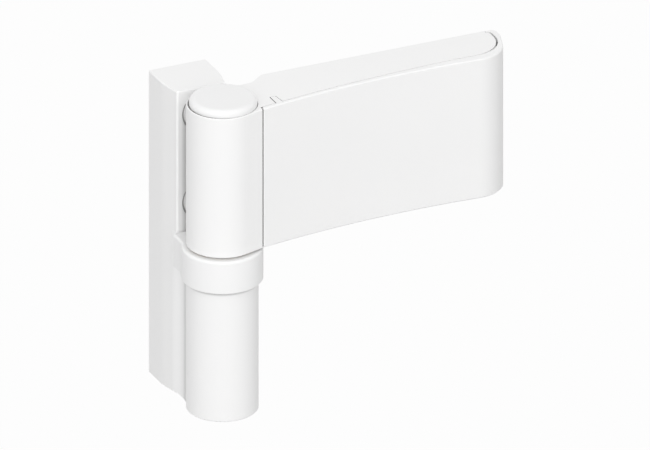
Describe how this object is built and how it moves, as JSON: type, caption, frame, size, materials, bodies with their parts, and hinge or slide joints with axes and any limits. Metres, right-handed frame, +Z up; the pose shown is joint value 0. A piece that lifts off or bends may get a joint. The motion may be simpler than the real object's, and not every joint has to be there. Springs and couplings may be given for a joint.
{
  "type": "surface-mounted door hinge",
  "caption": "White surface-mounted hinge for a plastic door: a screw block with a barrel and collar, and an arm with a clip-on cover, adjustable in height and sideways.",
  "frame": {"origin": "on the block's back face, straight behind the pin axis, level with the bottom of the lower barrel", "axes": "+Y out of the block's back into the door frame, +X along the closed arm, +Z up along the pin"},
  "size_m": [0.1095, 0.044, 0.104],
  "materials": {
    "frame_paint": "smooth satin white paint",
    "leaf_paint": "smooth satin white paint",
    "cover_paint": "smooth satin white paint",
    "collar_plastic": "smooth satin white plastic",
    "cap_plastic": "smooth satin white plastic",
    "plug_plastic": "smooth satin white plastic",
    "bush_plastic": "smooth natural bearing plastic",
    "washer_brass": "rolled brass",
    "pin_steel": "ground steel",
    "plate_steel": "zinc-plated steel",
    "screw_steel": "zinc-plated steel"
  },
  "bodies": {
    "frame": {"frame_body": "frame_paint", "block_plugs": "plug_plastic", "collar": "collar_plastic", "lower_bush": "bush_plastic", "thrust_washer": "washer_brass", "lock_screw": "screw_steel", "bottom_cap": "cap_plastic"},
    "lift": {"hinge_pin": "pin_steel", "bearing_ball": "pin_steel", "thrust_disc": "pin_steel"},
    "jack": {"height_screw": "screw_steel"},
    "arm": {"leaf_body": "leaf_paint", "upper_bush": "bush_plastic", "top_cap": "cap_plastic", "side_screw_ring": "screw_steel"},
    "arm_cover": {"cover": "cover_paint"},
    "plate": {"fixing_plate": "plate_steel", "clamp_screws": "screw_steel", "clamp_washers": "screw_steel"},
    "side_drive": {"side_screw": "screw_steel"}
  },
  "joints": [
    {"name": "height_adjust", "type": "slide", "parent": "frame", "child": "lift", "axis": [0, 0, 1], "range_m": [0, 0.004]},
    {"name": "height_screw_turn", "type": "hinge", "parent": "lift", "child": "jack", "pos_m": [0, -0.0316, 0], "axis": [0, 0, 1], "range_deg": [0, 960]},
    {"name": "leaf_swing", "type": "hinge", "parent": "lift", "child": "arm", "pos_m": [0, -0.0316, 0], "axis": [0, 0, -1], "range_deg": [0, 180]},
    {"name": "cover_slide", "type": "slide", "parent": "arm", "child": "arm_cover", "axis": [0, 0, 1], "range_m": [0, 0.047]},
    {"name": "side_adjust", "type": "slide", "parent": "arm", "child": "plate", "axis": [1, 0, 0], "range_m": [-0.002, 0.002]},
    {"name": "side_screw_turn", "type": "hinge", "parent": "arm", "child": "side_drive", "pos_m": [0, -0.0258, 0.07835], "axis": [1, 0, 0], "range_deg": [-1029, 1029]}
  ],
  "couplings": [
    {"joint": "height_screw_turn", "follows": "height_adjust", "rad_per_m": 4188.8},
    {"joint": "side_screw_turn", "follows": "side_adjust", "rad_per_m": -8976}
  ]
}
